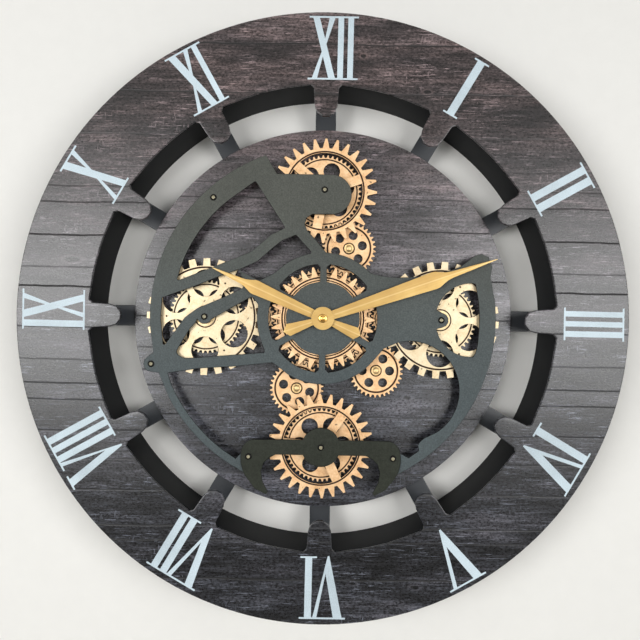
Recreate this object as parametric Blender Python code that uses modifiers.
# Round wall clock with an open train of turning gears.
#
# The clock hangs on a wall and faces -Y. Its frame has the dial's axis at x = z = 0, halfway through
# the depth. Outlines are drawn as seen from the front, x to the right and y up, and every height is
# measured from the wall towards the room. The function stand() turns such a drawing into place.
import math

import bmesh
import bpy

MM = 0.001

# Fits
SEAT = 0.3 * MM                  # gap between pieces that rest on each other
RUN = 0.25 * MM                  # radial clearance of a turning bore, at its flats
END_PLAY = 0.4 * MM              # axial clearance of a turning piece
TURN_STEPS = 8                   # facets of a small turned piece
HOLE_STEPS = 6                   # facets of a screw's or spigot's hole
RING_STEPS = 48                  # facets of the large rings

# Outer ring
CLOCK_RADIUS = 300 * MM
CLOCK_DEPTH = 60 * MM
OPENING_RADIUS = 229 * MM
FACE_THICKNESS = 4 * MM
TONGUE_COUNT = 12
TONGUE_TIP_REACH = 197.5 * MM    # from the dial's axis to a tongue's round tip
TONGUE_WIDTH = 22.5 * MM         # at the tip
TONGUE_ROOT_WIDTH = 25 * MM
TONGUE_FILLET = 3 * MM
SKIRT_WALL = 3 * MM
SKIRT_LIP = 12 * MM              # the skirt's front lip, under the face
SKIRT_LIP_THICKNESS = 2 * MM
COLLAR_WALL = 3 * MM
COLLAR_FLANGE = 14 * MM
COLLAR_FLANGE_THICKNESS = 2 * MM

# Back board and its fixings
BACK_BOARD_HEIGHT = 5 * MM
BACK_BOARD_THICKNESS = 4 * MM
BACK_SCREW_COUNT = 6
WOOD_SCREW_RADIUS = 1.6 * MM
HANGER_WIDTH = 52 * MM
HANGER_TALL = 26 * MM
HANGER_THICKNESS = 1.6 * MM
HANGER_SCREW_SPACING = 38 * MM
KEYHOLE_RADIUS = 4.5 * MM
KEYHOLE_SLOT = 2.2 * MM
KEYHOLE_RISE = 8 * MM
KEYHOLE_POCKET = 8.5 * MM        # hole in the board behind the keyhole, for the wall screw's head

# Spider that carries the dial board
SPOKE_WIDTH = 21 * MM
SPIDER_THICKNESS = 11 * MM
SPIDER_RING_RADIUS = 190 * MM
SPIDER_RING_BORE = 152 * MM

# Dial board
DISC_RADIUS = 193 * MM
DISC_THICKNESS = 4 * MM
DISC_BACK_HEIGHT = 22.8 * MM     # from the wall to the board's back

# Gear train: every meshing pair has the same module
GEAR_MODULE = 1.54 * MM
ADDENDUM = 1.1 * MM
DEDENDUM = 1.6 * MM
MESH_GAP = 0.3 * MM              # axes stand this much further apart than the pitch circles touch
CENTRE_TURN = 1.02               # degrees that the centre gear has turned at rest
CENTRE_TEETH = 64
FINE_TEETH = 47
SMALL_TEETH = 34
IDLER_TEETH = 21
GEAR_THICKNESS = 3 * MM
GEAR_FLOOR = 4 * MM              # from the dial board to the lower gears
LAYER_GAP = 2.8 * MM             # between the lower and the upper gears
PLATE_GAP = 4 * MM               # from the upper gears to the gear plate
SMALL_DIRECTION = 70.35          # degrees, where the upper small gear stands
DRIVE_DIRECTION = -43.7          # degrees, where the driven small gear stands

# Upper gear wheels, which mesh with nothing
RING_TEETH = 28
RING_TIP_RADIUS = 52.7 * MM
RING_ROOT_RADIUS = 43.2 * MM
RING_BORE_RADIUS = 38.3 * MM
RING_HUB_RADIUS = 13 * MM
RING_BAR_WIDTH = 9.7 * MM
RING_BARS = 3
SQUARE_TEETH = 24
SQUARE_TIP_RADIUS = 59 * MM
SQUARE_ROOT_RADIUS = 51.5 * MM

# Round holes in the wheels
WHEEL_HOLES = 6
SQUARE_HOLE_RADIUS = 13.8 * MM
SQUARE_HOLE_REACH = 33.8 * MM
FINE_HOLE_RADIUS = 8.4 * MM
FINE_HOLE_REACH = 21.9 * MM
SMALL_HOLE_RADIUS = 4.6 * MM
SMALL_HOLE_REACH = 13.9 * MM

# Posts, hubs and screws
POST_RADIUS = 3 * MM
POST_FLANGE_RADIUS = 7 * MM
SPIGOT_RADIUS = 2.5 * MM         # of every post, where it sits in the dial board
HUB_RADIUS = 6.5 * MM
HUB_FLANGE_RADIUS = 9.2 * MM
HUB_FLANGE = 1.2 * MM
HUB_BOSS_SHARE = 0.55            # of the hub's wall, left standing in front of the rolled end
SPACER_RADIUS = 11 * MM
PIN_RADIUS = 2 * MM              # of the small gears' and idlers' pins
PIN_FLANGE_RADIUS = 4.5 * MM
PIN_HEAD_RADIUS = 5 * MM
PIN_DOME_RADIUS = 3.3 * MM
PIN_HEAD = 1 * MM
PIN_DOME = 1 * MM
IDLER_PIN_DOME = 0.5 * MM
STANDOFF_RADIUS = 4.5 * MM
MACHINE_SCREW_RADIUS = 1.2 * MM
MACHINE_SCREW_LENGTH = 7 * MM
SCREW_HOLE_SPARE = 1 * MM

# Gear plate, one stamped sheet
PLATE_THICKNESS = 2 * MM
PLATE_OUTER_RADIUS = 173 * MM
PLATE_DRAWN_RADIUS = 173         # millimetres; the plate's free outlines were drawn with this radius
PLATE_DRAWN_RING = 66            # and this ring round the centre gear
PLATE_BAND_LEFT = 22 * MM        # width of the upper left band
PLATE_BAND_LOW = 8 * MM          # width of the thin lower band
PLATE_EDGE_RIGHT = 16.5 * MM     # width of the right edge
PLATE_RING_RADIUS = 66 * MM
PLATE_RING_BORE = 54.4 * MM
PLATE_HUB_RADIUS = 36.9 * MM
PLATE_BRIDGE_WIDTH = 7 * MM
PLATE_BOSS_RADIUS = 7.5 * MM
PLATE_SCREW_INSET = 10 * MM      # the upper left screw from the plate's outer edge
EAR_RADIUS = 8 * MM
EAR_STAND = 4.5 * MM             # the ear's centre outside the plate's outer edge
CORNER = 1 * MM                  # radius of the sheet's small corners
BRIDGE_BOSS_RADIUS = 19.6 * MM
BRIDGE_BAR_TOP = 7.4 * MM        # above the bottom gear's axis
BRIDGE_BAR_BOTTOM = -7.9 * MM
BRIDGE_SCREW_REACH = 72 * MM
BRIDGE_SCREW_DROP = 10 * MM
BRIDGE_HOOK_REACH = 11.5 * MM    # the hooks' lowest ends outside the plate's outer edge
BRIDGE_END = 7.5 * MM            # the bridge's ends outside their screws
BRIDGE_CORNER = 14 * MM          # radius of its upper corners

# Movement and hands
MOVEMENT_SIZE = 56 * MM
MOVEMENT_DEPTH = 16 * MM
CELL_RADIUS = 7.1 * MM
CELL_LENGTH = 50 * MM
CELL_TIP = 1.2 * MM              # the nub at a cell's plus end
CELL_TIP_RADIUS = 2.6 * MM
BAY_CLEARANCE = 0.5 * MM
CASE_CORNER = 2 * MM             # corners of the movement, the drive and the battery box
BUSH_RADIUS = 4 * MM
HOUR_TUBE_RADIUS = 2.9 * MM
ARBOR_RADIUS = 1.7 * MM
SLEEVE_RADIUS = 6 * MM
SLEEVE_FLANGE_RADIUS = 12 * MM
CENTRE_HUB_RADIUS = 9.5 * MM
CENTRE_HUB_FLANGE_RADIUS = 14 * MM
MOVEMENT_NUT_RADIUS = 6.5 * MM
MOVEMENT_NUT = 2.2 * MM
KNOB_RADIUS = 5 * MM
KNOB_THICKNESS = 2.4 * MM
KNOB_X = 15 * MM
KNOB_Z = 16 * MM
HAND_THICKNESS = 1 * MM
HAND_GAP = 1.6 * MM
HOUR_HAND_TURN = 293.8           # degrees clockwise from twelve at rest
MINUTE_HAND_TURN = 70.4
HOUR_LENGTH = 121 * MM
MINUTE_LENGTH = 183 * MM
HAND_TAIL = 41 * MM
HOUR_EYE_RADIUS = 9 * MM
MINUTE_EYE_RADIUS = 11.4 * MM
HOUR_HALF_WIDTH = 7.2 * MM
MINUTE_HALF_WIDTH = 8.5 * MM
TAIL_HALF_WIDTH = 6.2 * MM
TAIL_NECK = 2.6 * MM             # half the tail's width where it leaves the eye
HAND_NUT_RADIUS = 4.3 * MM
HAND_NUT = 3.2 * MM

# Gear drive and its battery box
DRIVE_WIDTH = 60 * MM
DRIVE_TALL = 44 * MM
DRIVE_DEPTH = 15 * MM
DRIVE_SHIFT_X = 12 * MM          # the case's centre from the driven gear's axis
DRIVE_SHIFT_Z = -8 * MM
SWITCH_WIDTH = 5 * MM
SWITCH_TALL = 3.5 * MM
SWITCH_RISE = 2 * MM
SWITCH_TRAVEL = 3 * MM
SWITCH_POCKET = 1.5 * MM
BOX_WIDTH = 60 * MM
BOX_TALL = 36 * MM
BOX_DEPTH = 17 * MM
BOX_X = -66 * MM
BOX_Z = -62 * MM
BOX_WALL = 2 * MM
COVER_THICKNESS = 1.6 * MM

# Places and heights from the wall that follow from the sizes above
HANGER_REACH = (CLOCK_RADIUS - SKIRT_WALL + OPENING_RADIUS + COLLAR_WALL) / 2
WALL_Y = CLOCK_DEPTH / 2
FACE_BACK = CLOCK_DEPTH - FACE_THICKNESS
BOARD_TOP = BACK_BOARD_HEIGHT + BACK_BOARD_THICKNESS
SPIDER_TOP = DISC_BACK_HEIGHT - SEAT
SPIDER_BOTTOM = SPIDER_TOP - SPIDER_THICKNESS
DISC_FRONT = DISC_BACK_HEIGHT + DISC_THICKNESS
LOWER_BACK = DISC_FRONT + GEAR_FLOOR
LOWER_FRONT = LOWER_BACK + GEAR_THICKNESS
UPPER_BACK = LOWER_FRONT + LAYER_GAP
UPPER_FRONT = UPPER_BACK + GEAR_THICKNESS
PLATE_BACK = UPPER_FRONT + PLATE_GAP
PLATE_FRONT = PLATE_BACK + PLATE_THICKNESS
BRIDGE_BACK = PLATE_FRONT + SEAT
BRIDGE_FRONT = BRIDGE_BACK + PLATE_THICKNESS
NUT_FRONT = PLATE_FRONT + SEAT + MOVEMENT_NUT
HOUR_BACK = NUT_FRONT + HAND_GAP
MINUTE_BACK = HOUR_BACK + HAND_THICKNESS + HAND_GAP
HAND_NUT_BACK = MINUTE_BACK + HAND_THICKNESS + SEAT


# Plane geometry

def polar(radius, degrees, centre=(0.0, 0.0)):
    """Point at a radius and a direction, counted counterclockwise from +x."""
    angle = math.radians(degrees)
    return centre[0] + radius * math.cos(angle), centre[1] + radius * math.sin(angle)


def arc(radius, start, end, steps, centre=(0.0, 0.0)):
    """Points along an arc, both ends included; degrees, counterclockwise when end > start."""
    return [polar(radius, start + (end - start) * i / steps, centre) for i in range(steps + 1)]


def circle(radius, steps, centre=(0.0, 0.0)):
    return arc(radius, 0, 360, steps, centre)[:-1]


def bore_corner(radius, gap, steps=TURN_STEPS):
    """Corner radius of a faceted hole whose flats clear a round piece of this radius by the gap."""
    return (radius + gap) / math.cos(math.pi / steps)


def fit_hole(radius, centre=(0.0, 0.0), steps=TURN_STEPS):
    """Hole for a round piece that sits still in it."""
    return circle(bore_corner(radius, SEAT, steps), steps, centre)


def rounded(corners):
    """A closed outline from (x, y, radius) corners, each with a small arc in place of its point."""
    outline = []
    count = len(corners)
    for i, (x, y, radius) in enumerate(corners):
        if radius <= 0:
            outline.append((x, y))
            continue
        last = corners[i - 1]
        after = corners[(i + 1) % count]
        back = math.atan2(last[1] - y, last[0] - x)
        ahead = math.atan2(after[1] - y, after[0] - x)
        half = (back - ahead) % (2 * math.pi) / 2
        reach = min(abs(radius / math.tan(half)) if math.sin(half) else 0,
                    0.45 * math.hypot(last[0] - x, last[1] - y),
                    0.45 * math.hypot(after[0] - x, after[1] - y))
        start = (x + reach * math.cos(back), y + reach * math.sin(back))
        end = (x + reach * math.cos(ahead), y + reach * math.sin(ahead))
        steps = 1 if radius <= 2 * MM else 4
        for j in range(steps + 1):
            t = j / steps
            outline.append(((1 - t) ** 2 * start[0] + 2 * t * (1 - t) * x + t * t * end[0],
                            (1 - t) ** 2 * start[1] + 2 * t * (1 - t) * y + t * t * end[1]))
    return outline


def toothed(teeth, tip_radius, root_radius, tip_share, root_share):
    """A gear's outline with one tooth centred on +x; shares are widths in tooth pitches.

    A tip share of 0 gives pointed teeth, and a root share of 1 gives pointed gaps."""
    outline = []
    pitch = 360 / teeth
    for i in range(teeth):
        middle = i * pitch
        if root_share < 1:
            outline.append(polar(root_radius, middle - root_share * pitch / 2))
        if tip_share > 0:
            outline.append(polar(tip_radius, middle - tip_share * pitch / 2))
            outline.append(polar(tip_radius, middle + tip_share * pitch / 2))
        else:
            outline.append(polar(tip_radius, middle))
        outline.append(polar(root_radius, middle + root_share * pitch / 2))
    return outline


def hole_circle(radius, reach, start, steps):
    return [circle(radius, steps, polar(reach, start + 360 / WHEEL_HOLES * i)) for i in range(WHEEL_HOLES)]


# Gear train geometry

def pitch_radius(teeth):
    return teeth * GEAR_MODULE / 2


def axis_distance(teeth, other):
    return pitch_radius(teeth) + pitch_radius(other) + MESH_GAP


CENTRE_TO_SMALL = axis_distance(CENTRE_TEETH, SMALL_TEETH)
SMALL_TO_FINE = axis_distance(SMALL_TEETH, FINE_TEETH)
IDLER_REACH = axis_distance(CENTRE_TEETH, IDLER_TEETH)
SIDE_REACH = IDLER_REACH + axis_distance(IDLER_TEETH, FINE_TEETH)
SMALL_OUT, SMALL_RISE = polar(CENTRE_TO_SMALL, SMALL_DIRECTION)
# The top and bottom gears stand straight above and below the dial's axis
TOP_REACH = SMALL_RISE + math.sqrt(SMALL_TO_FINE ** 2 - SMALL_OUT ** 2)

AXES = {
    "centre": (0.0, 0.0),
    "top": (0.0, TOP_REACH),
    "bottom": (0.0, -TOP_REACH),
    "left": (-SIDE_REACH, 0.0),
    "right": (SIDE_REACH, 0.0),
    "upper_small": (SMALL_OUT, SMALL_RISE),
    "lower_small": (-SMALL_OUT, -SMALL_RISE),
    "drive": polar(CENTRE_TO_SMALL, DRIVE_DIRECTION),
    "left_idler": (-IDLER_REACH, 0.0),
    "right_idler": (IDLER_REACH, 0.0),
}
TEETH = {
    "centre": CENTRE_TEETH,
    "top": FINE_TEETH, "bottom": FINE_TEETH, "left": FINE_TEETH, "right": FINE_TEETH,
    "upper_small": SMALL_TEETH, "lower_small": SMALL_TEETH, "drive": SMALL_TEETH,
    "left_idler": IDLER_TEETH, "right_idler": IDLER_TEETH,
}
# Each pair: the gear that turns first, then the one that it turns
MESHES = [("centre", "upper_small"), ("upper_small", "top"), ("centre", "lower_small"),
          ("lower_small", "bottom"), ("centre", "drive"), ("centre", "left_idler"),
          ("left_idler", "left"), ("centre", "right_idler"), ("right_idler", "right")]


def mesh_turns():
    """Turn of every gear, in degrees, that puts the teeth of each meshing pair between each other."""
    turns = {"centre": CENTRE_TURN}
    for first, second in MESHES:
        (x1, y1), (x2, y2) = AXES[first], AXES[second]
        direction = math.degrees(math.atan2(y2 - y1, x2 - x1))
        share = (direction - turns[first]) * TEETH[first] / 360 % 1
        turns[second] = direction + 180 + 360 / TEETH[second] * (share + 0.5)
    return turns


TURNS = mesh_turns()
# Turn of the wheels' holes, bars and upper teeth at rest, in degrees
HOLE_TURNS = {"top": 12, "bottom": 62, "left": 0, "right": 0, "upper_small": 13, "lower_small": 44,
              "drive": 0}
BAR_TURNS = {"top": 19, "bottom": 56}
LONG_TEETH_TURNS = {"centre": -1.1, "top": 24.8, "bottom": 53.4, "left": -0.7, "right": -4.0}

# Screws that hold the gear plate at its rim, and the lower bridge at its ends
PLATE_SCREW_TOP = polar(PLATE_OUTER_RADIUS - PLATE_SCREW_INSET, 133)
EAR = polar(PLATE_OUTER_RADIUS + EAR_STAND, 195.7)
PLATE_PILLARS = [PLATE_SCREW_TOP, EAR]
BRIDGE_PILLARS = [(side * BRIDGE_SCREW_REACH, -TOP_REACH - BRIDGE_SCREW_DROP) for side in (-1, 1)]


# Building tools

for old in list(bpy.data.objects):
    bpy.data.objects.remove(old, do_unlink=True)
PARTS = bpy.data.collections.new("round_wall_clock")
bpy.context.scene.collection.children.link(PARTS)


def paint(thing, colour, roughness, metallic=0.0):
    material = bpy.data.materials.new(thing.name)
    material.use_nodes = True
    shader = material.node_tree.nodes["Principled BSDF"]
    shader.inputs["Base Color"].default_value = (*colour, 1.0)
    shader.inputs["Roughness"].default_value = roughness
    shader.inputs["Metallic"].default_value = metallic
    material.diffuse_color = (*colour, 1.0)
    thing.data.materials.clear()
    thing.data.materials.append(material)
    return thing


def matt_black(thing):
    return paint(thing, (0.02, 0.021, 0.024), 0.55)


def wood_print(thing):
    return paint(thing, (0.055, 0.045, 0.047), 0.6)


def plate_grey(thing):
    return paint(thing, (0.1, 0.108, 0.105), 0.5, 0.3)


def copper_gold(thing):
    return paint(thing, (0.85, 0.55, 0.28), 0.4, 0.4)


def pale_gold(thing):
    return paint(thing, (0.88, 0.72, 0.42), 0.35, 0.5)


def hand_gold(thing):
    return paint(thing, (0.78, 0.55, 0.22), 0.3, 0.7)


def brass(thing):
    return paint(thing, (0.72, 0.5, 0.2), 0.3, 1.0)


def steel(thing):
    return paint(thing, (0.5, 0.5, 0.52), 0.35, 1.0)


def stand(thing, centre=(0.0, 0.0), height=0.0, turn=0.0):
    """Turn a piece drawn from the front into place, with local z as its height from the wall."""
    thing.location = (centre[0], WALL_Y - height, centre[1])
    thing.rotation_euler = (math.pi / 2, -math.radians(turn), 0)
    return thing


def as_mesh(thing):
    """Replace a curve or a piece with modifiers by its evaluated, welded mesh, in its own frame."""
    bpy.context.view_layer.update()
    evaluated = thing.evaluated_get(bpy.context.evaluated_depsgraph_get())
    mesh = bpy.data.meshes.new_from_object(evaluated)
    shape = bmesh.new()
    shape.from_mesh(mesh)
    bmesh.ops.remove_doubles(shape, verts=shape.verts, dist=0.001 * MM)
    bmesh.ops.recalc_face_normals(shape, faces=shape.faces)
    shape.to_mesh(mesh)
    shape.free()
    name = thing.name
    placed = thing.matrix_world.copy()
    bpy.data.objects.remove(thing, do_unlink=True)
    mesh.name = name
    solid = bpy.data.objects.new(name, mesh)
    PARTS.objects.link(solid)
    solid.matrix_world = placed
    return solid


def flat(name, outlines, thickness, height=0.0, centre=(0.0, 0.0), turn=0.0):
    """A sheet with the first outline round it and the others as holes, its back at the height."""
    curve = bpy.data.curves.new(name, "CURVE")
    curve.dimensions = "2D"
    curve.fill_mode = "BOTH"
    curve.extrude = thickness / 2
    for outline in outlines:
        spline = curve.splines.new("POLY")
        spline.points.add(len(outline) - 1)
        for point, (x, y) in zip(spline.points, outline):
            point.co = (x, y, 0, 1)
        spline.use_cyclic_u = True
    sheet = bpy.data.objects.new(name, curve)
    PARTS.objects.link(sheet)
    stand(sheet, centre, height + thickness / 2, turn)
    return as_mesh(sheet)


def turned(name, profile, centre=(0.0, 0.0), steps=TURN_STEPS, closed=False, turn=0.0):
    """A (radius, height) profile turned about its axis; it runs down its outer side."""
    mesh = bpy.data.meshes.new(name)
    edges = [(i, i + 1) for i in range(len(profile) - 1)]
    if closed:
        edges.append((len(profile) - 1, 0))
    mesh.from_pydata([(radius, 0, height) for radius, height in profile], edges, [])
    piece = bpy.data.objects.new(name, mesh)
    PARTS.objects.link(piece)
    screw = piece.modifiers.new("turning", "SCREW")
    screw.steps = steps
    screw.render_steps = steps
    screw.use_merge_vertices = True
    screw.merge_threshold = 0.01 * MM
    screw.use_smooth_shade = False
    stand(piece, centre, turn=turn)
    return as_mesh(piece)


def tube(name, inner, outer, low, high, centre=(0.0, 0.0), steps=TURN_STEPS):
    profile = [(inner, high), (outer, high), (outer, low), (inner, low)]
    return turned(name, profile, centre, steps, closed=True)


def block(name, width, tall, low, high, centre=(0.0, 0.0)):
    """A box with its back at the low height and its front at the high one."""
    bpy.ops.mesh.primitive_cube_add(size=1, location=(0, 0, 0))
    box = bpy.context.active_object
    for owner in list(box.users_collection):
        owner.objects.unlink(box)
    PARTS.objects.link(box)
    box.name = name
    box.data.name = name
    for vertex in box.data.vertices:
        x, y, z = vertex.co
        vertex.co = (x * width, y * tall, low + (z + 0.5) * (high - low))
    return stand(box, centre)


def soften(box, radius, segments=2):
    """Round the four upright corners of a block and bake the result."""
    bevel = box.modifiers.new("corners", "BEVEL")
    bevel.width = radius
    bevel.segments = segments
    bevel.limit_method = "ANGLE"
    return as_mesh(box)


def combine(solid, tool, operation):
    """Join or cut a solid with a tool by an exact Boolean; the tool is used up."""
    boolean = solid.modifiers.new("combine", "BOOLEAN")
    boolean.operation = operation
    boolean.solver = "EXACT"
    boolean.object = tool
    result = as_mesh(solid)
    bpy.data.objects.remove(tool, do_unlink=True)
    return result


def group(name, pieces):
    """Put equal cutters into one object, for one cut."""
    bpy.context.view_layer.update()
    shape = bmesh.new()
    for piece in pieces:
        mesh = piece.data.copy()
        mesh.transform(piece.matrix_world)
        shape.from_mesh(mesh)
        bpy.data.objects.remove(piece, do_unlink=True)
    mesh = bpy.data.meshes.new(name)
    shape.to_mesh(mesh)
    shape.free()
    together = bpy.data.objects.new(name, mesh)
    PARTS.objects.link(together)
    return together


# Outer ring, back board and hanger

def tongue_points(direction):
    """One tongue of the face, clockwise side last, as seen with the opening's edge going clockwise."""
    tip_radius = TONGUE_WIDTH / 2
    tip_centre = TONGUE_TIP_REACH + tip_radius
    half_root = TONGUE_ROOT_WIDTH / 2
    shoulder = OPENING_RADIUS - TONGUE_FILLET
    side = [(OPENING_RADIUS, half_root + TONGUE_FILLET),
            (shoulder + 0.3 * TONGUE_FILLET, half_root + 0.3 * TONGUE_FILLET),
            (shoulder, half_root)]
    tip = [(tip_centre - tip_radius * math.sin(math.radians(a)), tip_radius * math.cos(math.radians(a)))
           for a in range(0, 181, 36)]
    points = side + tip + [(reach, -across) for reach, across in reversed(side)]
    turn = math.radians(direction)
    return [(reach * math.cos(turn) - across * math.sin(turn),
             reach * math.sin(turn) + across * math.cos(turn)) for reach, across in points]


def face_opening():
    """The face's inner edge, clockwise: an arc between tongues, then the next tongue."""
    step = 360 / TONGUE_COUNT
    margin = math.degrees((TONGUE_ROOT_WIDTH / 2 + TONGUE_FILLET) / OPENING_RADIUS)
    outline = []
    for i in range(TONGUE_COUNT):
        direction = 90 - i * step
        outline += tongue_points(direction)
        outline += arc(OPENING_RADIUS, direction - margin, direction - step + margin, 4)[1:-1]
    return outline


def ring_face():
    outlines = [circle(CLOCK_RADIUS, RING_STEPS), face_opening()]
    return wood_print(flat("ring_face", outlines, FACE_THICKNESS, FACE_BACK))


def outer_skirt():
    outer = CLOCK_RADIUS
    inner = outer - SKIRT_WALL
    lip = outer - SKIRT_LIP
    top = FACE_BACK - SEAT
    profile = [(lip, top), (outer, top), (outer, 0), (inner, 0),
               (inner, top - SKIRT_LIP_THICKNESS), (lip, top - SKIRT_LIP_THICKNESS)]
    return matt_black(turned("outer_skirt", profile, steps=RING_STEPS, closed=True))


def back_screw_places():
    reach = OPENING_RADIUS + COLLAR_WALL + COLLAR_FLANGE / 2
    return [polar(reach, 360 / BACK_SCREW_COUNT * (i + 0.5)) for i in range(BACK_SCREW_COUNT)]


def back_board():
    outer = CLOCK_RADIUS - SKIRT_WALL - SEAT
    inner = OPENING_RADIUS + COLLAR_WALL + SEAT
    outlines = [circle(outer, RING_STEPS), circle(inner, RING_STEPS)]
    outlines += [fit_hole(WOOD_SCREW_RADIUS, place, HOLE_STEPS) for place in back_screw_places()]
    outlines.append(circle(KEYHOLE_POCKET, TURN_STEPS, (0, HANGER_REACH)))
    outlines += [fit_hole(WOOD_SCREW_RADIUS, place, HOLE_STEPS) for place in hanger_screw_places()]
    return matt_black(flat("back_board", outlines, BACK_BOARD_THICKNESS, BACK_BOARD_HEIGHT))


def hanger_screw_places():
    return [(side * HANGER_SCREW_SPACING / 2, HANGER_REACH) for side in (-1, 1)]


def keyhole():
    """A round hole with a narrower slot rising from it."""
    opening = math.degrees(math.asin(KEYHOLE_SLOT / KEYHOLE_RADIUS))
    low = arc(KEYHOLE_RADIUS, 90 + opening, 450 - opening, 10, (0, HANGER_REACH - KEYHOLE_RISE / 2))
    return low + arc(KEYHOLE_SLOT, 0, 180, 4, (0, HANGER_REACH + KEYHOLE_RISE / 2))


def hanger_plate():
    half_width, half_tall = HANGER_WIDTH / 2, HANGER_TALL / 2
    edge = rounded([(side * half_width, HANGER_REACH + rise * half_tall, 4 * MM)
                    for side, rise in ((1, 1), (-1, 1), (-1, -1), (1, -1))])
    outlines = [edge, keyhole()]
    outlines += [fit_hole(WOOD_SCREW_RADIUS, place, HOLE_STEPS) for place in hanger_screw_places()]
    height = BACK_BOARD_HEIGHT - SEAT - HANGER_THICKNESS
    return steel(flat("hanger_plate", outlines, HANGER_THICKNESS, height))


def spider_outline():
    """Twelve spokes round the hub ring; their ends stand against the collar."""
    half = SPOKE_WIDTH / 2
    flat_radius = OPENING_RADIUS * math.cos(math.pi / RING_STEPS)
    reach = math.sqrt((flat_radius - SEAT) ** 2 - half ** 2)
    margin = math.degrees(math.asin(half / SPIDER_RING_RADIUS))
    step = 360 / TONGUE_COUNT
    outline = []
    for i in range(TONGUE_COUNT):
        direction = 90 + i * step
        turn = math.radians(direction)
        for across in (-half, half):
            outline.append((reach * math.cos(turn) - across * math.sin(turn),
                            reach * math.sin(turn) + across * math.cos(turn)))
        outline += arc(SPIDER_RING_RADIUS, direction + margin, direction + step - margin, 3)
    return outline


def spider_frame():
    bore = circle(SPIDER_RING_BORE, TONGUE_COUNT * 3)
    matt_black(flat("spider_frame", [spider_outline(), bore], SPIDER_THICKNESS, SPIDER_BOTTOM))


def collar():
    """Lining of the opening, with a flange that is screwed to the back board."""
    inner = OPENING_RADIUS
    outer = inner + COLLAR_WALL
    flange = outer + COLLAR_FLANGE
    low = BOARD_TOP + SEAT
    profile = [(inner, FACE_BACK - SEAT), (outer, FACE_BACK - SEAT), (outer, low + COLLAR_FLANGE_THICKNESS),
               (flange, low + COLLAR_FLANGE_THICKNESS), (flange, low), (outer, low), (outer, 0), (inner, 0)]
    ring = turned("collar", profile, steps=RING_STEPS, closed=True)
    drills = [round_bar("drill", bore_corner(WOOD_SCREW_RADIUS, SEAT, HOLE_STEPS), low - 2 * MM,
                        low + COLLAR_FLANGE_THICKNESS + 2 * MM, place) for place in back_screw_places()]
    return matt_black(combine(ring, group("drills", drills), "DIFFERENCE"))


def round_bar(name, radius, low, high, centre=(0.0, 0.0), steps=HOLE_STEPS):
    """A plain round bar."""
    return turned(name, [(0, high), (radius, high), (radius, low), (0, low)], centre, steps)


# Dial board and what stands on it

def dial_disc():
    outlines = [circle(DISC_RADIUS, RING_STEPS), fit_hole(BUSH_RADIUS), fit_hole(PIN_RADIUS, AXES["drive"])]
    seats = [AXES[name] for name in AXES if name not in ("centre", "drive")]
    seats += PLATE_PILLARS + BRIDGE_PILLARS
    outlines += [fit_hole(SPIGOT_RADIUS, place, HOLE_STEPS) for place in seats]
    return wood_print(flat("dial_disc", outlines, DISC_THICKNESS, DISC_BACK_HEIGHT))


def screw_hole(top):
    """Start of a turned profile: a blind hole for a machine screw, up to the post's top face."""
    bore = MACHINE_SCREW_RADIUS + SEAT
    depth = top - MACHINE_SCREW_LENGTH - SCREW_HOLE_SPARE
    return [(0, depth), (bore, depth), (bore, top)]


def gear_post(name, place, top):
    """A post with a flange on the board, a spigot in it and a blind hole for its screw."""
    floor = DISC_FRONT + SEAT
    ledge = LOWER_BACK - END_PLAY
    profile = screw_hole(top)
    profile += [(POST_RADIUS, top), (POST_RADIUS, ledge), (POST_FLANGE_RADIUS, ledge),
                (POST_FLANGE_RADIUS, floor), (SPIGOT_RADIUS, floor), (SPIGOT_RADIUS, DISC_BACK_HEIGHT),
                (0, DISC_BACK_HEIGHT)]
    steel(turned(name, profile, place))


def gear_posts():
    for name in ("top", "left", "right"):
        gear_post(name + "_gear_post", AXES[name], PLATE_BACK - SEAT)
    gear_post("bottom_gear_post", AXES["bottom"], BRIDGE_BACK - SEAT)


def pillar(name, place):
    """A plain pillar between the board and the plate."""
    top = PLATE_BACK - SEAT
    floor = DISC_FRONT + SEAT
    profile = screw_hole(top)
    profile += [(STANDOFF_RADIUS, top), (STANDOFF_RADIUS, floor), (SPIGOT_RADIUS, floor),
                (SPIGOT_RADIUS, DISC_BACK_HEIGHT), (0, DISC_BACK_HEIGHT)]
    matt_black(turned(name, profile, place, 8))


def pillars():
    for name, place in zip(("upper_plate_pillar", "ear_plate_pillar"), PLATE_PILLARS):
        pillar(name, place)
    for name, place in zip(("left_bridge_pillar", "right_bridge_pillar"), BRIDGE_PILLARS):
        pillar(name, place)


# Gears

def turning_bore(radius):
    """Corner radius of a bore that turns round a shaft of this radius."""
    return bore_corner(radius, RUN)


def fine_gear(place):
    """Lower wheel of a stack, with pointed teeth and round holes."""
    name = place + "_fine_gear"
    radius = pitch_radius(TEETH[place])
    outlines = [toothed(TEETH[place], radius + ADDENDUM, radius - DEDENDUM, 0, 1)]
    hub = CENTRE_HUB_RADIUS if place == "centre" else HUB_RADIUS
    outlines.append(fit_hole(hub))
    if place != "centre":
        outlines += hole_circle(FINE_HOLE_RADIUS, FINE_HOLE_REACH, HOLE_TURNS[place] - TURNS[place], 8)
    return flat(name, outlines, GEAR_THICKNESS, LOWER_BACK, AXES[place], TURNS[place])


def ring_windows():
    """Openings between the bars of an upper ring."""
    windows = []
    for i in range(RING_BARS):
        start = 360 / RING_BARS * i
        end = start + 360 / RING_BARS
        far = math.degrees(math.asin(RING_BAR_WIDTH / 2 / RING_BORE_RADIUS))
        near = math.degrees(math.asin(RING_BAR_WIDTH / 2 / RING_HUB_RADIUS))
        windows.append(arc(RING_BORE_RADIUS, start + far, end - far, 7)
                       + arc(RING_HUB_RADIUS, end - near, start + near, 2))
    return windows


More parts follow.
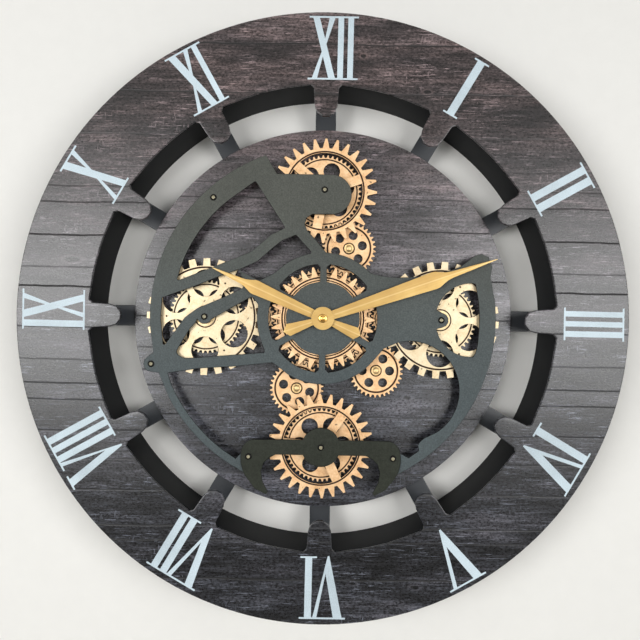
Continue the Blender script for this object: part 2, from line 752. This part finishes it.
def swung(outline, turn):
    """An outline turned about its own axis, in degrees."""
    turn = math.radians(turn)
    across, along = math.sin(turn), math.cos(turn)
    return [(x * along - y * across, x * across + y * along) for x, y in outline]


def ring_gear(place):
    """Upper ring with long teeth; three bars join it to its hub."""
    turn = BAR_TURNS.get(place, 3)
    teeth = toothed(RING_TEETH, RING_TIP_RADIUS, RING_ROOT_RADIUS, 0.2, 0.7)
    outlines = [swung(teeth, LONG_TEETH_TURNS[place] - turn)]
    if place == "centre":
        outlines.append(fit_hole(CENTRE_HUB_RADIUS))
    else:
        outlines.append(fit_hole(HUB_RADIUS))
        outlines += ring_windows()
    return flat(place + "_ring_gear", outlines, GEAR_THICKNESS, UPPER_BACK, AXES[place], turn)


def square_gear(place):
    """Upper disc with square teeth and six large holes."""
    teeth = toothed(SQUARE_TEETH, SQUARE_TIP_RADIUS, SQUARE_ROOT_RADIUS, 0.42, 0.54)
    outlines = [swung(teeth, LONG_TEETH_TURNS[place]), fit_hole(HUB_RADIUS)]
    outlines += hole_circle(SQUARE_HOLE_RADIUS, SQUARE_HOLE_REACH, 180 / WHEEL_HOLES, 10)
    return pale_gold(flat(place + "_square_gear", outlines, GEAR_THICKNESS, UPPER_BACK, AXES[place]))


def gear_hub(name, place, shaft, spigot, flange, spacer):
    """Bush that carries a stack of two wheels, apart by its spacer rib, its front end rolled over."""
    bore = turning_bore(shaft)
    boss = bore + (spigot - bore) * HUB_BOSS_SHARE
    rolled = UPPER_FRONT + SEAT
    profile = [(bore, PLATE_BACK - END_PLAY), (boss, PLATE_BACK - END_PLAY), (boss, rolled + HUB_FLANGE),
               (flange, rolled + HUB_FLANGE), (flange, rolled), (spigot, rolled), (spigot, UPPER_BACK - SEAT),
               (spacer, UPPER_BACK - SEAT), (spacer, LOWER_FRONT + SEAT), (spigot, LOWER_FRONT + SEAT),
               (spigot, LOWER_BACK), (bore, LOWER_BACK)]
    brass(turned(name, profile, place, closed=True))


def gear_stack(place):
    shaft, spigot, flange, spacer = POST_RADIUS, HUB_RADIUS, HUB_FLANGE_RADIUS, SPACER_RADIUS
    if place == "centre":
        shaft, spigot, flange = SLEEVE_RADIUS, CENTRE_HUB_RADIUS, CENTRE_HUB_FLANGE_RADIUS
        spacer = CENTRE_HUB_FLANGE_RADIUS
    gear_hub(place + "_gear_hub", AXES[place], shaft, spigot, flange, spacer)
    lower = fine_gear(place)
    if place in ("left", "right"):
        square_gear(place)
        pale_gold(lower)
    else:
        copper_gold(ring_gear(place))
        copper_gold(lower)


def small_gear(name, place):
    radius = pitch_radius(SMALL_TEETH)
    outlines = [toothed(SMALL_TEETH, radius + ADDENDUM, radius - DEDENDUM, 0, 1),
                circle(turning_bore(PIN_RADIUS), TURN_STEPS)]
    outlines += hole_circle(SMALL_HOLE_RADIUS, SMALL_HOLE_REACH, HOLE_TURNS[place] - TURNS[place], 8)
    return copper_gold(flat(name, outlines, GEAR_THICKNESS, LOWER_BACK, AXES[place], TURNS[place]))


def idler_gear(name, place):
    radius = pitch_radius(IDLER_TEETH)
    outlines = [toothed(IDLER_TEETH, radius + ADDENDUM, radius - DEDENDUM, 0, 1),
                circle(turning_bore(PIN_RADIUS), TURN_STEPS)]
    return copper_gold(flat(name, outlines, GEAR_THICKNESS, LOWER_BACK, AXES[place], TURNS[place]))


def gear_pin(name, place, dome):
    """A pin on the board with a flange under its gear and a domed head over it."""
    under = LOWER_FRONT + END_PLAY
    profile = [(0, under + PIN_HEAD + dome), (PIN_DOME_RADIUS * 0.7, under + PIN_HEAD + dome * 0.8),
               (PIN_DOME_RADIUS, under + PIN_HEAD), (PIN_HEAD_RADIUS, under + PIN_HEAD),
               (PIN_HEAD_RADIUS, under), (PIN_RADIUS, under),
               (PIN_RADIUS, LOWER_BACK - END_PLAY), (PIN_FLANGE_RADIUS, LOWER_BACK - END_PLAY),
               (PIN_FLANGE_RADIUS, DISC_FRONT + SEAT), (SPIGOT_RADIUS, DISC_FRONT + SEAT),
               (SPIGOT_RADIUS, DISC_BACK_HEIGHT), (0, DISC_BACK_HEIGHT)]
    return brass(turned(name, profile, place))


def gear_pins():
    for name in ("upper_small", "lower_small"):
        gear_pin(name + "_gear_pin", AXES[name], PIN_DOME)
    for name in ("left_idler", "right_idler"):
        gear_pin(name + "_pin", AXES[name], IDLER_PIN_DOME)


def drive_shaft():
    """The drive's output shaft; the driven small gear sits fast on it, under a domed head."""
    under = LOWER_FRONT + SEAT
    collar = LOWER_BACK - SEAT
    profile = [(0, under + PIN_HEAD + PIN_DOME), (PIN_DOME_RADIUS * 0.7, under + PIN_HEAD + PIN_DOME * 0.8),
               (PIN_DOME_RADIUS, under + PIN_HEAD), (PIN_HEAD_RADIUS, under + PIN_HEAD),
               (PIN_HEAD_RADIUS, under), (PIN_RADIUS, under),
               (PIN_RADIUS, collar), (PIN_FLANGE_RADIUS, collar),
               (PIN_FLANGE_RADIUS, DISC_FRONT + END_PLAY), (PIN_RADIUS, DISC_FRONT + END_PLAY),
               (PIN_RADIUS, DISC_BACK_HEIGHT), (0, DISC_BACK_HEIGHT)]
    return brass(turned("drive_shaft", profile, AXES["drive"]))


def centre_sleeve():
    """Fixed sleeve round the movement's bush; the centre gears turn on it."""
    inner = bore_corner(BUSH_RADIUS, SEAT)
    profile = [(inner, PLATE_BACK - SEAT), (SLEEVE_RADIUS, PLATE_BACK - SEAT),
               (SLEEVE_RADIUS, LOWER_BACK - END_PLAY),
               (SLEEVE_FLANGE_RADIUS, LOWER_BACK - END_PLAY), (SLEEVE_FLANGE_RADIUS, DISC_FRONT + SEAT),
               (inner, DISC_FRONT + SEAT)]
    return steel(turned("centre_sleeve", profile, closed=True))


# Gear plate and lower bridge

def hub_windows():
    """Six windows between the plate's centre disc and its ring."""
    windows = []
    for i in range(6):
        start = 30 + 60 * i
        end = start + 60
        far = math.degrees(math.asin(PLATE_BRIDGE_WIDTH / 2 / PLATE_RING_BORE))
        near = math.degrees(math.asin(PLATE_BRIDGE_WIDTH / 2 / PLATE_HUB_RADIUS))
        inset = math.degrees(CORNER * 3 / PLATE_RING_BORE)
        windows.append(arc(PLATE_RING_BORE, start + far + inset, end - far - inset, 5)
                       + [polar(PLATE_RING_BORE - CORNER * 3, end - far)]
                       + arc(PLATE_HUB_RADIUS, end - near, start + near, 3)
                       + [polar(PLATE_RING_BORE - CORNER * 3, start + far)])
    return windows


def plate_points(*points):
    """Drawn points of the plate, kept at their share of the way from its ring to its outer edge."""
    placed = []
    for x, y in points:
        share = (math.hypot(x, y) - PLATE_DRAWN_RING) / (PLATE_DRAWN_RADIUS - PLATE_DRAWN_RING)
        radius = PLATE_RING_RADIUS + share * (PLATE_OUTER_RADIUS - PLATE_RING_RADIUS)
        placed.append(polar(radius, math.degrees(math.atan2(y, x))))
    return placed


def sharp(points, radius=CORNER):
    return [(x, y, radius) for x, y in points]


def upper_left_window():
    """Between the left band, the top arm and the upper strut."""
    inner = PLATE_OUTER_RADIUS - PLATE_BAND_LEFT
    corners = sharp(plate_points((-39, 90), (-53, 83)))
    corners += sharp(plate_points((-72, 66), (-98, 55)), 12 * MM)
    corners += sharp([polar(inner, 166.5)])
    corners += sharp(arc(inner, 160, 123, 5), 0)
    corners += sharp([polar(inner + 1.8 * MM, 117)])
    return rounded(corners[::-1])


def strut_window():
    """Between the upper strut and the ring."""
    corners = sharp(plate_points((-28, 83), (-42, 77)))
    corners += sharp(plate_points((-54, 67), (-66, 56)), 8 * MM)
    corners += sharp(plate_points((-85, 47), (-64, 37)))
    corners += sharp(arc(PLATE_RING_RADIUS, 137, 106, 3), 0)
    corners += sharp([polar(PLATE_RING_RADIUS, 100)])
    return rounded(corners)


def left_upper_window():
    """Over the left gear, between the upper strut and the slanting one."""
    inner = PLATE_OUTER_RADIUS - PLATE_BAND_LEFT / 2
    corners = sharp(plate_points((-84, 48), (-100, 42), (-129, 30)))
    corners += sharp([polar(inner, 173.5), polar(inner, 181), polar(inner, 191)])
    corners += sharp(plate_points((-138, -1), (-126, 8), (-99, 20), (-79, 30)), 3 * MM)
    return rounded(corners)


def left_lower_window():
    """Under the slanting strut, with the boss of the left gear's screw standing in from above."""
    left = AXES["left"]
    corners = sharp([polar(PLATE_RING_RADIUS, angle) for angle in (169, 178, 187, 196, 206)])
    below = sharp(plate_points((-57, -35))) + sharp(plate_points((-68, -36), (-102, -39)), 0)
    below += sharp(plate_points((-138, -42), (-147, -37)), 6 * MM)
    below += sharp(plate_points((-133, -13), (-127, -6)), 4 * MM)
    boss = sharp(arc(PLATE_BOSS_RADIUS, 200, 340, 5, left), 0)
    above = sharp(plate_points((-71, 21)), 2 * MM)
    return rounded(corners + below + boss + above)


def right_window():
    """Over the right gear: part of a circle, cut by the right edge, with a boss standing in."""
    right = AXES["right"]
    middle = (right[0] + 31 * MM, 0.5 * MM)
    radius = 37 * MM
    edge = PLATE_OUTER_RADIUS - PLATE_EDGE_RIGHT
    outline = arc(radius, 92, 165, 6, middle)
    outline += arc(PLATE_BOSS_RADIUS, 80, -80, 5, right)
    outline += arc(radius, 195, 272, 6, middle)
    outline += arc(edge, -12, 13.5, 4)
    return outline


def left_tab():
    """Left end of the thin band, under the lower bridge's lobe."""
    x, y = BRIDGE_PILLARS[0]
    inner = PLATE_OUTER_RADIUS - PLATE_BAND_LOW
    return [polar(PLATE_OUTER_RADIUS, 244), (x + 4 * MM, y - 6 * MM), (x + 7 * MM, y),
            (x + 3 * MM, y + 7 * MM), (x - 5 * MM, y + 6 * MM), polar(inner, 239)]


def right_tab():
    x, y = BRIDGE_PILLARS[1]
    return [(x + 5 * MM, y + 6 * MM), (x - 3 * MM, y + 7 * MM), (x - 7 * MM, y), (x - 4 * MM, y - 6 * MM),
            polar(PLATE_OUTER_RADIUS, 296)]


def lower_edge():
    """From the left tab up the thin band, along the lower strut and ring, to the right tab."""
    inner = PLATE_OUTER_RADIUS - PLATE_BAND_LOW
    sweep_middle = (88 * MM, -71 * MM)
    edge = arc(inner, 234, 204, 5)
    edge += plate_points((-154, -57), (-124, -52), (-84, -49), (-50, -45))
    edge += arc(PLATE_RING_RADIUS, 226, 322, 8)
    edge += arc(49.5 * MM, 122, -72, 12, sweep_middle)
    edge += plate_points((99, -122), (97, -125), (98, -131), (88, -138))
    return edge


def right_ear():
    """Rounded corner over the right arm, where the upper edge turns down."""
    return plate_points((169, 54), (165, 64), (158, 67), (151, 65), (137, 54))


def top_arm():
    """The arm that reaches over the top gear, its right end rounded about the gear's screw."""
    x, y = AXES["top"]
    top, low = y + 15.4 * MM, y - 24.6 * MM
    middle = (top + low) / 2
    radius = (top - low) / 2
    end = arc(radius, -90, 90, 8, (x + 7 * MM, middle))
    throat = plate_points((-7, 77), (-17, 88), (-19.5, 94), (-18, 100))
    return throat + [(x - 12 * MM, low)] + end + [(x - 48 * MM, top), polar(PLATE_OUTER_RADIUS, 110)]


def plate_edge():
    """The sheet's outer edge, counterclockwise from the top of the left band."""
    ear_turn = math.degrees(math.atan2(EAR[1], EAR[0])) % 360
    edge = arc(PLATE_OUTER_RADIUS, 113, ear_turn - 3.5, 9)
    edge += arc(EAR_RADIUS, ear_turn - 75, ear_turn + 75, 5, EAR)
    edge += arc(PLATE_OUTER_RADIUS, ear_turn + 3.5, 241, 5)
    edge += left_tab() + lower_edge() + right_tab()
    edge += arc(PLATE_OUTER_RADIUS, 299, 375, 9)
    edge += right_ear()
    edge += plate_points((110, 46), (75, 42), (56, 44))
    edge += arc(PLATE_RING_RADIUS, 44, 88, 5)
    edge += top_arm()
    return edge


def gear_plate():
    outlines = [plate_edge(), upper_left_window(), strut_window(), left_upper_window(), left_lower_window(),
                right_window()]
    outlines += hub_windows()
    outlines.append(fit_hole(BUSH_RADIUS))
    screws = [AXES["top"], AXES["left"], AXES["right"]] + PLATE_PILLARS + BRIDGE_PILLARS
    outlines += [fit_hole(MACHINE_SCREW_RADIUS, place, HOLE_STEPS) for place in screws]
    return plate_grey(flat("gear_plate", outlines, PLATE_THICKNESS, PLATE_BACK))


def bridge_half(side):
    """Right half of the lower bridge, from the top of its bar clockwise to the bottom."""
    y = -TOP_REACH
    screw_x = BRIDGE_SCREW_REACH
    top = y + BRIDGE_BAR_TOP
    low = y + BRIDGE_BAR_BOTTOM
    points = arc(BRIDGE_CORNER, 90, 0, 4, (screw_x + BRIDGE_END - BRIDGE_CORNER, top - BRIDGE_CORNER))
    points.append((screw_x + BRIDGE_END, top - 24 * MM))
    hook = PLATE_OUTER_RADIUS + BRIDGE_HOOK_REACH
    points += [polar(hook - 9.7 * MM, 295.5), polar(hook - 2 * MM, 291), polar(hook, 287)]
    points += [(screw_x - 20 * MM, y - 45 * MM), (screw_x - 14.3 * MM, y - 34.4 * MM),
               (screw_x - 12.8 * MM, y - 24.4 * MM), (screw_x - 15.2 * MM, y - 16.4 * MM),
               (screw_x - 20.7 * MM, y - 11.1 * MM), (screw_x - 27.1 * MM, low)]
    return [(side * px, py) for px, py in points]


def lower_bridge():
    centre = AXES["bottom"]
    up = math.degrees(math.asin(BRIDGE_BAR_TOP / BRIDGE_BOSS_RADIUS))
    down = math.degrees(math.asin(BRIDGE_BAR_BOTTOM / BRIDGE_BOSS_RADIUS))
    edge = arc(BRIDGE_BOSS_RADIUS, up, 180 - up, 8, centre)
    edge += bridge_half(-1)
    edge += arc(BRIDGE_BOSS_RADIUS, 180 - down, 360 + down, 8, centre)
    edge += bridge_half(1)[::-1]
    outlines = [edge]
    outlines += [fit_hole(MACHINE_SCREW_RADIUS, place, HOLE_STEPS) for place in [centre] + BRIDGE_PILLARS]
    return plate_grey(flat("lower_bridge", outlines, PLATE_THICKNESS, BRIDGE_BACK))


# Movement and hands

def hand_edge(length, sides, eye):
    """A hand's outline along +y: half widths by share of the length, a round eye and a tail."""
    right = [(half, share * length) for share, half in sides]
    tail = [(0.0, -HAND_TAIL * 0.93), (TAIL_HALF_WIDTH * 0.39, -HAND_TAIL), (TAIL_HALF_WIDTH, -HAND_TAIL * 0.88)]
    start = math.degrees(math.acos(TAIL_NECK / eye))
    up = math.degrees(math.acos(sides[0][1] / eye))
    half = tail + [(TAIL_NECK, -eye * math.sin(math.radians(start)))]
    half += arc(eye, -start + 10, up - 10, 4)
    half += right
    return half + [(0.0, length)] + [(-x, y) for x, y in reversed(half[1:])]


def hand(name, length, sides, eye, shaft, height, clock_turn):
    outlines = [hand_edge(length, sides, eye), fit_hole(shaft)]
    return hand_gold(flat(name, outlines, HAND_THICKNESS, height, turn=-clock_turn))


def hands():
    eye_start = 0.08
    hour, minute = HOUR_HALF_WIDTH, MINUTE_HALF_WIDTH
    hour_sides = [(eye_start, hour * 0.56), (0.61, hour), (0.66, hour * 0.75), (0.72, hour * 0.42),
                  (0.82, hour * 0.29)]
    minute_sides = [(eye_start, minute * 0.49), (0.64, minute), (0.68, minute * 0.73), (0.74, minute * 0.38),
                    (0.84, minute * 0.25)]
    hand("hour_hand", HOUR_LENGTH, hour_sides, HOUR_EYE_RADIUS, HOUR_TUBE_RADIUS, HOUR_BACK, HOUR_HAND_TURN)
    hand("minute_hand", MINUTE_LENGTH, minute_sides, MINUTE_EYE_RADIUS, ARBOR_RADIUS, MINUTE_BACK,
         MINUTE_HAND_TURN)


def hand_fittings():
    """Hour tube, minute arbor and the domed nut on its end."""
    foot = DISC_BACK_HEIGHT
    hour_top = HOUR_BACK + HAND_THICKNESS + 0.6 * MM
    brass(tube("hour_tube", turning_bore(ARBOR_RADIUS), HOUR_TUBE_RADIUS, foot, hour_top))
    arbor_top = HAND_NUT_BACK + HAND_NUT * 0.55
    brass(round_bar("minute_arbor", ARBOR_RADIUS, foot, arbor_top, steps=TURN_STEPS))
    bore = bore_corner(ARBOR_RADIUS, SEAT)
    roof = arbor_top + SEAT
    profile = [(0, HAND_NUT_BACK + HAND_NUT), (HAND_NUT_RADIUS * 0.5, HAND_NUT_BACK + HAND_NUT * 0.92),
               (HAND_NUT_RADIUS * 0.9, HAND_NUT_BACK + HAND_NUT * 0.5), (HAND_NUT_RADIUS, HAND_NUT_BACK),
               (bore, HAND_NUT_BACK), (bore, roof), (0, roof)]
    brass(turned("hand_nut", profile))


def battery(name, length, centre, height):
    """A cell lying along x, its plus end at +x."""
    end = length / 2
    profile = [(0, end + CELL_TIP), (CELL_TIP_RADIUS, end + CELL_TIP), (CELL_TIP_RADIUS, end),
               (CELL_RADIUS, end), (CELL_RADIUS, -end), (0, -end)]
    cell = turned(name, profile)
    cell.location = (centre[0], WALL_Y - height, centre[1])
    cell.rotation_euler = (0, math.pi / 2, 0)
    return cell


def cell_room():
    """Length and width of the bay that one cell needs."""
    return CELL_LENGTH + 2 * CELL_TIP + 2 * BAY_CLEARANCE, 2 * (CELL_RADIUS + BAY_CLEARANCE)


def movement():
    """Quartz movement behind the board: case with a cell bay open at the back, bush, nut, cell, knob."""
    back = DISC_BACK_HEIGHT - SEAT - MOVEMENT_DEPTH
    length, width = cell_room()
    front = DISC_BACK_HEIGHT - SEAT
    case = soften(block("movement_case", MOVEMENT_SIZE, MOVEMENT_SIZE, back, front), CASE_CORNER, 1)
    bay_z = -MOVEMENT_SIZE / 2 + 1.6 * MM + width / 2
    bay = block("bay", length, width, back - 2 * MM, back + 2 * CELL_RADIUS + BAY_CLEARANCE, (0, bay_z))
    matt_black(combine(case, bay, "DIFFERENCE"))
    steel(battery("movement_battery", CELL_LENGTH, (0, bay_z), back + CELL_RADIUS + BAY_CLEARANCE / 2))
    bush_top = NUT_FRONT + 0.4 * MM
    brass(tube("movement_bush", turning_bore(HOUR_TUBE_RADIUS), BUSH_RADIUS, DISC_BACK_HEIGHT, bush_top))
    nut = [circle(MOVEMENT_NUT_RADIUS, 6), fit_hole(BUSH_RADIUS)]
    brass(flat("movement_nut", nut, MOVEMENT_NUT, PLATE_FRONT + SEAT))
    rear = back - SEAT
    matt_black(round_bar("time_set_knob", KNOB_RADIUS, rear - KNOB_THICKNESS, rear, (KNOB_X, KNOB_Z), 16))


# Gear drive

def gear_drive():
    """Geared motor behind the board under the driven gear, with its switch on the back."""
    x = AXES["drive"][0] + DRIVE_SHIFT_X
    z = AXES["drive"][1] + DRIVE_SHIFT_Z
    front = DISC_BACK_HEIGHT - SEAT
    back = front - DRIVE_DEPTH
    case = soften(block("drive_case", DRIVE_WIDTH, DRIVE_TALL, back, front, (x, z)), CASE_CORNER, 1)
    pocket = block("pocket", SWITCH_WIDTH + SWITCH_TRAVEL + 2 * SEAT, SWITCH_TALL + 2 * SEAT, back - 1 * MM,
                   back + SWITCH_POCKET, (x + SWITCH_TRAVEL / 2, z))
    matt_black(combine(case, pocket, "DIFFERENCE"))
    floor = back + SWITCH_POCKET - SEAT
    slider = block("power_switch", SWITCH_WIDTH, SWITCH_TALL, back - SWITCH_RISE, floor, (x, z))
    paint(slider, (0.6, 0.6, 0.6), 0.5)


def battery_box():
    """Box for two cells, open at the back under a cover that slides off sideways."""
    centre = (BOX_X, BOX_Z)
    front = DISC_BACK_HEIGHT - SEAT
    back = front - BOX_DEPTH
    length, width = cell_room()
    box = soften(block("drive_battery_box", BOX_WIDTH, BOX_TALL, back, front, centre), CASE_CORNER, 1)
    bays = [block("bay", length, width, back - 1 * MM, back + 2 * (CELL_RADIUS + BAY_CLEARANCE), (BOX_X, z))
            for z in cell_rows()]
    matt_black(combine(box, group("bays", bays), "DIFFERENCE"))
    for name, z in zip(("lower_drive_battery", "upper_drive_battery"), cell_rows()):
        steel(battery(name, CELL_LENGTH, (BOX_X, z), back + CELL_RADIUS + BAY_CLEARANCE))
    cover = block("battery_cover", BOX_WIDTH, BOX_TALL, back - SEAT - COVER_THICKNESS, back - SEAT, centre)
    matt_black(soften(cover, 0.5 * MM, 1))


def cell_rows():
    gap = cell_room()[1] / 2 + BOX_WALL / 2
    return BOX_Z - gap, BOX_Z + gap


def build():
    ring_face()
    outer_skirt()
    back_board()
    hanger_plate()
    spider_frame()
    collar()
    dial_disc()
    gear_posts()
    pillars()
    gear_plate()
    lower_bridge()
    for place in ("centre", "top", "bottom", "left", "right"):
        gear_stack(place)
    centre_sleeve()
    small_gear("upper_small_gear", "upper_small")
    small_gear("lower_small_gear", "lower_small")
    small_gear("driven_small_gear", "drive")
    gear_pins()
    drive_shaft()
    idler_gear("left_idler_gear", "left_idler")
    idler_gear("right_idler_gear", "right_idler")
    movement()
    hands()
    hand_fittings()
    gear_drive()
    battery_box()


build()
